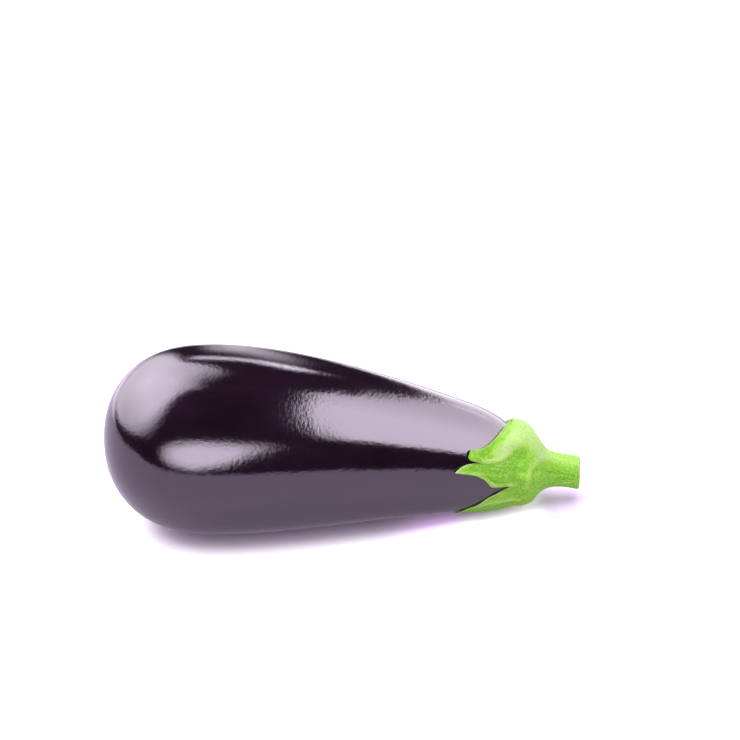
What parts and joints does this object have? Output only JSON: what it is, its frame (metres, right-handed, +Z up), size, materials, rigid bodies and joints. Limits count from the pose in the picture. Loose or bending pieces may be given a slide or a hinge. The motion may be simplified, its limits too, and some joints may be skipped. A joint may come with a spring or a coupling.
{
  "type": "eggplant",
  "caption": "Ripe glossy purple eggplant lying on its side: rounded blossom end, tapering neck, and a green calyx of pointed sepals that grips the shoulder below a short cut stem.",
  "frame": {"origin": "on the surface that the eggplant lies on, under the middle of its bounding box", "axes": "+X from the blossom end to the cut stem, +Z up, +Y to the left of someone looking along +X"},
  "size_m": [0.2314, 0.09, 0.0902],
  "materials": {
    "skin": "waxy, high-gloss, near-black purple skin",
    "green_tissue": "matt, finely downy fresh green"
  },
  "bodies": {
    "root": {"fruit": "skin", "calyx": "green_tissue"}
  },
  "joints": []
}
